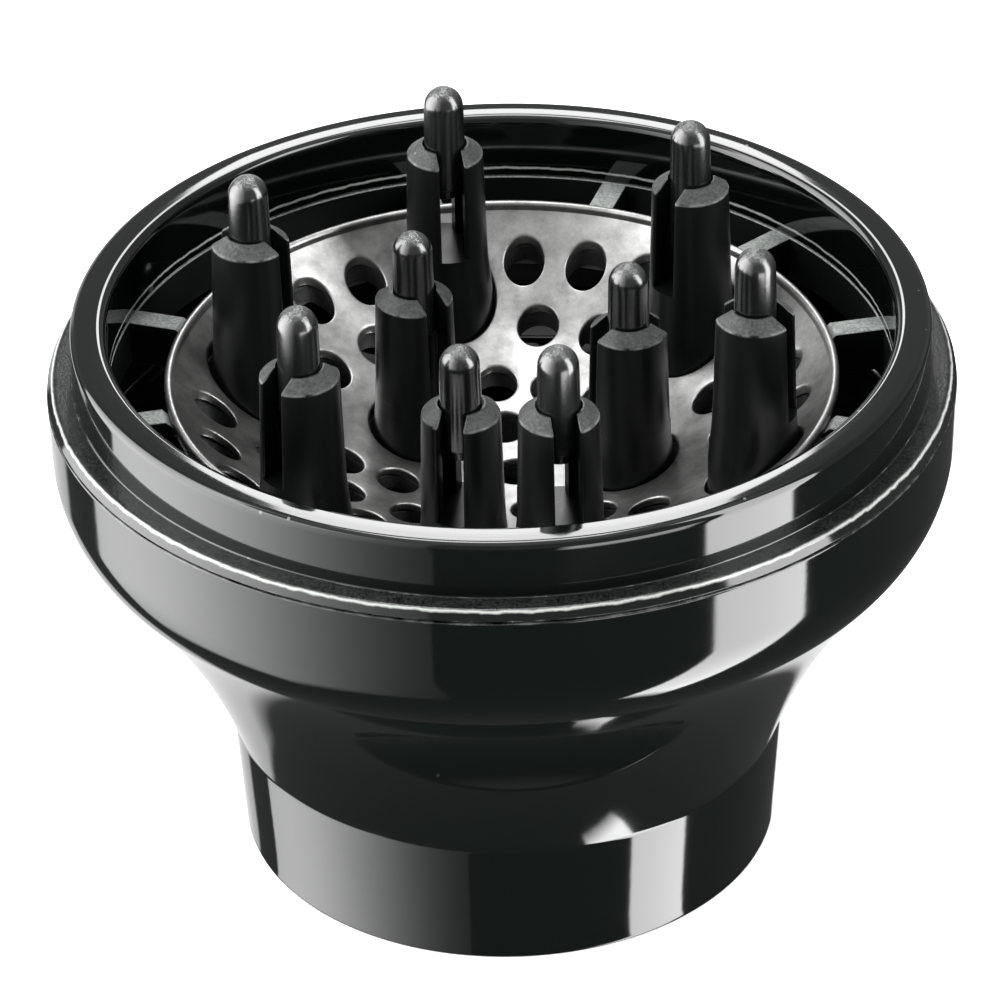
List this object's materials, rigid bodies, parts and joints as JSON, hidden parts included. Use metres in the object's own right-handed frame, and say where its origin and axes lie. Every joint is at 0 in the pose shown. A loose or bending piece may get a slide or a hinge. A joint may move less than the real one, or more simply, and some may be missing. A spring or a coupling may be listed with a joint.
{
  "type": "hair dryer diffuser",
  "caption": "Round hair dryer diffuser: a push-on collar, a flared bowl with a raised lip, and a perforated metal dish with slotted fingers.",
  "frame": {"origin": "centre of the collar's mouth, on the object's axis, at the lowest point of the object", "axes": "+Z along the axis from the collar to the fingers; -Y is the front, with one of the two grip scoops"},
  "size_m": [0.13, 0.13, 0.1014],
  "materials": {
    "gloss_black": "polished black",
    "satin_black": "black, fine grain on upward faces",
    "finger_black": "satin black, grained shoulder",
    "pin_black": "semi-gloss dark grey",
    "satin_metal": "satin silver",
    "inner_black": "matt black",
    "soft_black": "soft matt"
  },
  "bodies": {
    "root": {"outer_shell": "gloss_black", "top_ring": "gloss_black", "spoke_frame": "satin_black", "dish_plate": "satin_metal", "finger_carrier": "inner_black", "air_deflector": "inner_black", "barrel_grip_ring": "soft_black", "finger_body_1": "finger_black", "finger_body_2": "finger_black", "finger_body_3": "finger_black", "finger_body_4": "finger_black", "finger_body_5": "finger_black", "finger_body_6": "finger_black", "finger_body_7": "finger_black", "finger_body_8": "finger_black", "finger_body_9": "finger_black", "finger_pin_1": "pin_black", "finger_pin_2": "pin_black", "finger_pin_3": "pin_black", "finger_pin_4": "pin_black", "finger_pin_5": "pin_black", "finger_pin_6": "pin_black", "finger_pin_7": "pin_black", "finger_pin_8": "pin_black", "finger_pin_9": "pin_black"}
  },
  "joints": []
}
